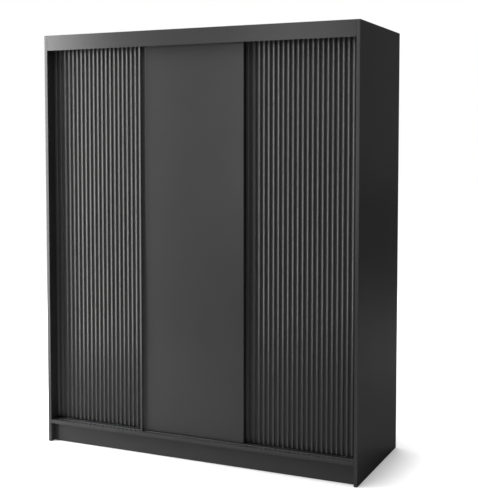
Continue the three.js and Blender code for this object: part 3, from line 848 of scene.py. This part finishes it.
# %% [markdown]
# ## Tracks
# Both tracks are aluminium extrusions, so both are sections walked from end to end. The top one is two
# channels side by side, open below. The bottom one is a thin plate with two round beads, on which the
# wheels run, and with ramped edges so that a foot or a vacuum cleaner doesn't catch.

# %% The tracks
TRACK_WALL = mm(1.6)
BEAD_RADIUS = mm(1.5)
BEAD_STEPS = 12
TRACK_PITCH = mm(21)
DIE_ROUND = mm(0.25)


def extruded_bar(node, name, axis, section, sharp_angle, rounding=DIE_ROUND, material=anodised):
    """A bar along an axis. The closed section has corners in the other two, and sharp ones are rounded."""
    low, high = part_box(node)
    corners = [Vector((*corner[:axis], low[axis], *corner[axis:])) for corner in section]
    bar = long_edge(name, axis, corners[0], high[axis] - low[axis])
    trace(corners + corners[:1])
    close_section(bar, axis, (low[axis], high[axis]))
    ease_edges(bar, rounding, angle=sharp_angle)
    finish(bar, material)
    return settle(bar, node)


low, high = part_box("top_track")
roof = high.z - TRACK_WALL
middle_wall, rear_wall = low.y + TRACK_PITCH, low.y + 2 * TRACK_PITCH
section = [
    (low.y, high.z), (low.y, low.z), (low.y + TRACK_WALL, low.z), (low.y + TRACK_WALL, roof),
    (middle_wall, roof), (middle_wall, low.z), (middle_wall + TRACK_WALL, low.z),
    (middle_wall + TRACK_WALL, roof), (rear_wall, roof), (rear_wall, low.z), (high.y, low.z),
    (high.y, high.z),
]
extruded_bar("top_track", "top_track_extrusion", X, section, 60)

low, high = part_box("bottom_track")
floor_z = low.z + TRACK_WALL
section = [(high.y, low.z), (low.y, low.z), (low.y + TRACK_WALL, floor_z)]
bead_rise = high.z - floor_z - BEAD_RADIUS
beads_y = [(wheel_low.y + wheel_high.y) / 2
           for wheel_low, wheel_high in (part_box("middle_door_wheel_left"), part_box("left_door_wheel_left"))]
for bead_y in beads_y:
    section.append((bead_y - BEAD_RADIUS, floor_z))
    for step in range(BEAD_STEPS + 1):
        turn = math.pi * (1 - step / BEAD_STEPS)
        section.append((bead_y + BEAD_RADIUS * math.cos(turn),
                        floor_z + bead_rise + BEAD_RADIUS * math.sin(turn)))
    section.append((bead_y + BEAD_RADIUS, floor_z))
section.append((high.y - TRACK_WALL, floor_z))
extruded_bar("bottom_track", "bottom_track_extrusion", X, section, 40)
print("beads of the bottom track: y =", [round(y * 1000, 1) for y in beads_y], "mm")

# %% [markdown]
# ## The back
# Two sheets of hardboard close the back. Their edges sit in the slots of an H-shaped plastic strip that
# covers the joint behind the partition, and flat-headed nails hold them all round.

# %% Sheets and strip
SHEET_ROUND = mm(0.4)
STRIP_WALL = mm(0.9)
for node in ("back_sheet_left", "back_sheet_right"):
    sheet = eased_block(node + "_hardboard", *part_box(node), SHEET_ROUND)
    finish(sheet, back_board)
    settle(sheet, node)

low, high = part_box("back_joint_strip")
middle_x = (low.x + high.x) / 2
web_left, web_right = middle_x - STRIP_WALL / 2, middle_x + STRIP_WALL / 2
slot_front, slot_rear = low.y + STRIP_WALL, high.y - STRIP_WALL
section = [
    (low.x, low.y), (high.x, low.y), (high.x, slot_front), (web_right, slot_front),
    (web_right, slot_rear), (high.x, slot_rear), (high.x, high.y), (low.x, high.y),
    (low.x, slot_rear), (web_left, slot_rear), (web_left, slot_front), (low.x, slot_front),
]
strip = extruded_bar("back_joint_strip", "back_joint_strip_moulded", Z, section, 60, mm(0.2),
                     black_moulding)
print("joint strip:", len(strip.data.polygons), "faces")

# %% [markdown]
# ## Hanging rail and its cups
# The rail is an oval steel tube. A block whose long edges are rounded almost to the middle is that
# oval, and inset and extrude open its ends. The two cups that hold it are made the same way, and their
# sockets are a little larger than the tube.

# %% The rail and its cups
TUBE_WALL = mm(1.2)
TUBE_DEPTH = mm(60)  # as far in as anyone can look
CUP_WALL = mm(4)
CUP_DEPTH = mm(9)
OVAL_STEPS = 14


def oval_bar(name, low, high):
    bar = blank(name, low, high)
    pick(bar, "EDGE", lambda first, last: near(first.y, last.y) and near(first.z, last.z))
    # A hair less than half, so that the rounded edges don't quite meet.
    bevel((high.y - low.y) / 2 - mm(0.01), OVAL_STEPS)
    return bar


def hollow(bar, end_x, outwards, wall, depth):
    """Opens the end of an oval bar."""
    pick(bar, "FACE", lambda middle, normal: near(middle.x, end_x) and abs(normal.x) > SQUARE_ON)
    bpy.ops.mesh.inset(thickness=wall)
    pull(along(X, -outwards * depth))


low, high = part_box("hanging_rail")
rail = oval_bar("hanging_rail_tube", low, high)
for end_x, outwards in ((low.x, -1), (high.x, 1)):
    hollow(rail, end_x, outwards, TUBE_WALL, TUBE_DEPTH)
finish(rail, plated)
settle(rail, "hanging_rail")

for node, outwards in (("rail_flange_left", 1), ("rail_flange_right", -1)):
    flange_low, flange_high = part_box(node)
    cup = oval_bar(node + "_cup", flange_low, flange_high)
    hollow(cup, flange_high.x if outwards > 0 else flange_low.x, outwards, CUP_WALL, CUP_DEPTH)
    ease_edges(cup, mm(0.6), angle=60, segments=3)
    finish(cup, black_moulding)
    settle(cup, node)
print("rail:", round((high.x - low.x) * 1000), "mm long")

# %% [markdown]
# ## Screws and nails
# Fasteners repeat, so each kind is modelled once, facing up at the origin, and copied to its places. A
# screw head is a short cylinder with a rounded rim and a cross cut into it. The nail is simpler still,
# because there are many of them and nobody looks closely.

# %% One screw and one nail
SCREW_RADIUS = mm(3.2)
SCREW_HEIGHT = mm(1.5)
CROSS_HALF_LENGTH, CROSS_HALF_WIDTH, CROSS_FLOOR = mm(1.7), mm(0.35), mm(0.6)
NAIL_RADIUS = mm(2.6)
NAIL_HEIGHT = mm(0.7)


def round_head(name, radius, height, sides, rounding, segments):
    head = rod(name, (0, 0, height / 2), radius, height, sides, upright=True)
    pick(head, "EDGE", lambda first, last: near(first.z, height) and near(last.z, height))
    bevel(rounding, segments)
    finish(head, zinc)
    return head


screw = round_head("screw", SCREW_RADIUS, SCREW_HEIGHT, 20, mm(0.9), 3)
for half_x, half_y in ((CROSS_HALF_LENGTH, CROSS_HALF_WIDTH), (CROSS_HALF_WIDTH, CROSS_HALF_LENGTH)):
    cross = blank("cross", (-half_x, -half_y, CROSS_FLOOR), (half_x, half_y, 2 * SCREW_HEIGHT))
    carve(screw, cross, zinc)
nail = round_head("nail", NAIL_RADIUS, NAIL_HEIGHT, 10, mm(0.4), 1)
print("a screw head has", len(screw.data.polygons), "faces, a nail head", len(nail.data.polygons))

# %% Placing the heads
FACING_BACK = (-math.pi / 2, 0, 0)
FACING_UP = (0, 0, 0)
FACING_DOWN = (math.pi, 0, 0)


def place_heads(model, name, node, places, direction):
    """Copies of a head at all the places, turned from facing up and joined into one piece."""
    made = []
    for place in places:
        head = copy_of(model, name, (0, 0, 0))
        head.rotation_euler = direction
        head.location = place
        freeze(rotation=True, scale=False)
        made.append(head)
    deselect()
    for head in made:
        head.select_set(True)
    bpy.context.view_layer.objects.active = made[0]
    bpy.ops.object.join()
    joined = named(name)
    make_active(joined)
    bpy.ops.object.shade_smooth_by_angle(angle=SMOOTH_BELOW)
    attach(joined, body_of_node[node])
    print(name + ":", len(made))


# %% [markdown]
# Each housing has a screw on either side of its wheel, and each guide has two through its plate. The
# tracks have one at each of six places along them, the top one in both its channels.

# %% Screws in the doors and tracks
HOUSING_SCREW_APART, HOUSING_SCREW_HEIGHT = mm(24), mm(17)
GUIDE_SCREW_APART, GUIDE_SCREW_HEIGHT = mm(14), mm(12)
GUIDE_SINK = mm(0.9)  # how deep the heads sit in the plate
TRACK_SCREWS = 6
TRACK_END = mm(60)


def screw_pair(fitting, apart, height, sink):
    """Places for two screws, left and right of a fitting's middle."""
    low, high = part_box(fitting)
    middle_x = (low.x + high.x) / 2
    return [Vector((middle_x + offset, high.y - sink, low.z + height)) for offset in (-apart, apart)]


for door in ("left_door", "middle_door", "right_door"):
    places = []
    for side in ("left", "right"):
        places += screw_pair(f"{door}_roller_housing_{side}", HOUSING_SCREW_APART, HOUSING_SCREW_HEIGHT,
                             FRAME_DEPTH)
        places += screw_pair(f"{door}_top_guide_{side}", GUIDE_SCREW_APART, GUIDE_SCREW_HEIGHT, GUIDE_SINK)
    place_heads(screw, door + "_screws", door + "_panel", places, FACING_BACK)

low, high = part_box("bottom_track")
spots = [low.x + TRACK_END + step * (high.x - low.x - 2 * TRACK_END) / (TRACK_SCREWS - 1)
         for step in range(TRACK_SCREWS)]
floor_places = [Vector((x, sum(beads_y) / 2, low.z + TRACK_WALL)) for x in spots]
place_heads(screw, "bottom_track_screws", "bottom_track", floor_places, FACING_UP)
low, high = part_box("top_track")
roof_places = [Vector((x, low.y + TRACK_WALL / 2 + TRACK_PITCH * (lane + 0.5), high.z - TRACK_WALL))
               for lane in (0, 1) for x in spots]
place_heads(screw, "top_track_screws", "top_track", roof_places, FACING_DOWN)

# %% [markdown]
# The nails follow the boards that they are driven into: up both sides, along the bottom and the top,
# and along each shelf. Beside the joint strip they keep clear of it.

# %% Nails round the back
NAIL_SPACING = mm(120)
SHELF_NAIL_SPACING = mm(150)
CORNER_CLEARANCE = mm(60)
STRIP_CLEARANCE = mm(45)


def evenly(first, last, spacing):
    count = round(abs(last - first) / spacing)
    return [first + step * (last - first) / count for step in range(count + 1)]


def level_of(node):
    return sum(corner.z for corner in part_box(node)) / 2


_, sheet_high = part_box("back_sheet_right")
side_low, side_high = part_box("right_side_panel")
strip_low, strip_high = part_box("back_joint_strip")
edge_x = (side_low.x + side_high.x) / 2
ends_z = (level_of("bottom_panel"), level_of("top_panel"))
left_run = (-edge_x + CORNER_CLEARANCE, strip_low.x - STRIP_CLEARANCE)
right_run = (strip_high.x + STRIP_CLEARANCE, edge_x - CORNER_CLEARANCE)
nail_places = [(x, z) for x in (-edge_x, edge_x) for z in evenly(*ends_z, NAIL_SPACING)]
nail_places += [(x, z) for run in (left_run, right_run) for x in evenly(*run, NAIL_SPACING) for z in ends_z]
nail_places += [(x, level_of(shelf)) for shelf in SHELVES for x in evenly(*left_run, SHELF_NAIL_SPACING)]
nail_places += [(x, level_of("hat_shelf")) for x in evenly(*right_run, SHELF_NAIL_SPACING)]
places = [Vector((x, sheet_high.y, z)) for x, z in nail_places]
place_heads(nail, "back_nails", "back_sheet_left", places, FACING_BACK)

remove(screw, nail)

# %% [markdown]
# ## Floor and background
# The wardrobe stands on a plain white floor that runs into a white background. A white that comes from
# more light would wash out a dark object, so the white is given to camera rays only: they see the floor
# and the world at full strength, while the light on the object stays plain. Gloss and glass get only a
# small share of that white, or it would lie over the dark sides as a veil. The soft shadow on the floor
# comes from ambient occlusion.

# %% The world
AMBIENT = 0.07
GLOSS_SHARE = 0.04
scene = bpy.context.scene
world = bpy.data.worlds.new("plain_studio")
scene.world = world
world.use_nodes = True
tree = world.node_tree


def background_share(tree):
    """1 for camera rays, a small share for glossy and transmitted ones, else 0."""
    rays = add(tree, "ShaderNodeLightPath").outputs
    other = add(tree, "ShaderNodeMath", {0: rays["Is Glossy Ray"], 1: rays["Is Transmission Ray"]},
                operation="ADD")
    weighed = add(tree, "ShaderNodeMath", {0: other.outputs[0], 1: GLOSS_SHARE, 2: rays["Is Camera Ray"]},
                  operation="MULTIPLY_ADD", use_clamp=True)
    return weighed.outputs[0]


WHITE = (1, 1, 1, 1)
backdrop = tree.nodes["Background"].inputs
strength = add(tree, "ShaderNodeMapRange", {VALUE: background_share(tree), TO_LOW: AMBIENT, TO_HIGH: 1.0})
backdrop["Color"].default_value = WHITE
tree.links.new(strength.outputs[0], backdrop["Strength"])
print("the world lights at", AMBIENT, "and shows itself at 1")

# %% The floor
FLOOR_SIZE = 60
FLOOR_GAP = mm(0.5)  # keeps the floor and the underside from lying in one plane
SHADOW_REACH = 0.26
SHADOW_DEPTH = 1.5
deselect()
bpy.ops.mesh.primitive_plane_add(size=FLOOR_SIZE, location=(0, 0, -FLOOR_GAP))
floor = named("studio_floor")
freeze()
white_floor, tree, shader, _ = new_finish("white_studio_floor", Roughness=0.9)
shader.inputs["Specular IOR Level"].default_value = 0.1  # next to no gloss of its own
# A reflection sees a dimmer floor, or the lit floor would lie as a pale patch low on the dark sides.
reflected = add(tree, "ShaderNodeLightPath").outputs["Is Glossy Ray"]
paint(tree, shader, reflected, "d8d8d8", "8a8a8a")
occlusion = add(tree, "ShaderNodeAmbientOcclusion", {"Distance": SHADOW_REACH}, samples=24)
deepened = add(tree, "ShaderNodeMath", {0: occlusion.outputs["AO"], 1: SHADOW_DEPTH}, operation="POWER")
glow = add(tree, "ShaderNodeMath", {0: deepened.outputs[0], 1: background_share(tree)},
           operation="MULTIPLY")
emission = add(tree, "ShaderNodeEmission", {"Color": WHITE, "Strength": glow.outputs[0]})
both = add(tree, "ShaderNodeAddShader", {0: shader.outputs[0], 1: emission.outputs[0]})
tree.links.new(both.outputs[0], tree.nodes["Material Output"].inputs["Surface"])
finish(floor, white_floor)
print("floor:", FLOOR_SIZE, "m wide")

# %% [markdown]
# ## Lamps
# A glossy dark front shows what is around it, so the lamps are large soft panels. Tall ones on
# the left draw the bright lines along the flutes, a weak one in front and two high ones fill, and two
# behind give the back a light of its own. Each is aimed at the middle of the front and hidden from
# the camera.

# %% The lamps
AIM = Vector((0, -0.25, 1.0))


def lamp(name, azimuth, elevation, distance, width, height, radiance):
    """A soft panel round the target. Azimuth 0 is in front and 90 to the left."""
    turn, rise = math.radians(azimuth), math.radians(elevation)
    offset = Vector((-math.sin(turn) * math.cos(rise), -math.cos(turn) * math.cos(rise), math.sin(rise)))
    deselect()
    bpy.ops.object.light_add(type="AREA", location=AIM + offset * distance)
    light = bpy.context.object
    light.name = name
    light.rotation_euler = (-offset).to_track_quat("-Z", "Y").to_euler()
    light.data.shape = "RECTANGLE"
    light.data.size, light.data.size_y = width, height
    light.data.energy = radiance * math.pi * width * height
    light.visible_camera = False


# Azimuth and elevation in degrees; distance, width and height in metres; radiance.
LAMPS = {
    "front_panel": (14, 10, 4.5, 0.9, 2.6, 2.0),
    "left_edge_panel": (50, 8, 2.2, 0.35, 2.6, 3.1),
    "left_panel": (68, 8, 2.2, 1.2, 2.6, 9),
    "high_front": (0, 60, 4, 2.5, 2.5, 3.3),
    "high_left": (60, 55, 4, 2, 2, 6.35),
    "rear_fill": (168, 22, 5, 2.2, 4, 1.8),
    "rear_left": (135, 15, 5, 3, 3.5, 1.8),
}
for name, settings in LAMPS.items():
    lamp(name, *settings)
print(len(LAMPS), "lamps")

# %% [markdown]
# ## Camera
# The camera stands to the right of the middle, at eye height, and looks almost level, so that the
# uprights stay nearly upright. A small downward shift of the lens does the rest. More shift and no tilt
# would make them quite parallel, but the same lens also serves the views from the side and the back,
# and there a large shift would cut off the wardrobe's top.

# %% The camera
CAMERA_PLACE = (2.0655, -4.2925, 1.4845)
CAMERA_YAW = math.radians(24.587)
CAMERA_TILT = math.radians(3.37)
LENS, SENSOR_WIDTH = 70.74, 36  # in mm
SHIFT_RIGHT, SHIFT_UP = -0.0008, -0.10  # in widths of the picture
deselect()
bpy.ops.object.camera_add(location=CAMERA_PLACE, rotation=(math.pi / 2 - CAMERA_TILT, 0, CAMERA_YAW))
camera = bpy.context.object
camera.data.lens = LENS
camera.data.sensor_width = SENSOR_WIDTH
camera.data.shift_x = SHIFT_RIGHT
camera.data.shift_y = SHIFT_UP
scene.camera = camera
scene.view_settings.view_transform = "Standard"
print("the camera is", round((camera.location - AIM).length, 2), "m from the wardrobe's middle")
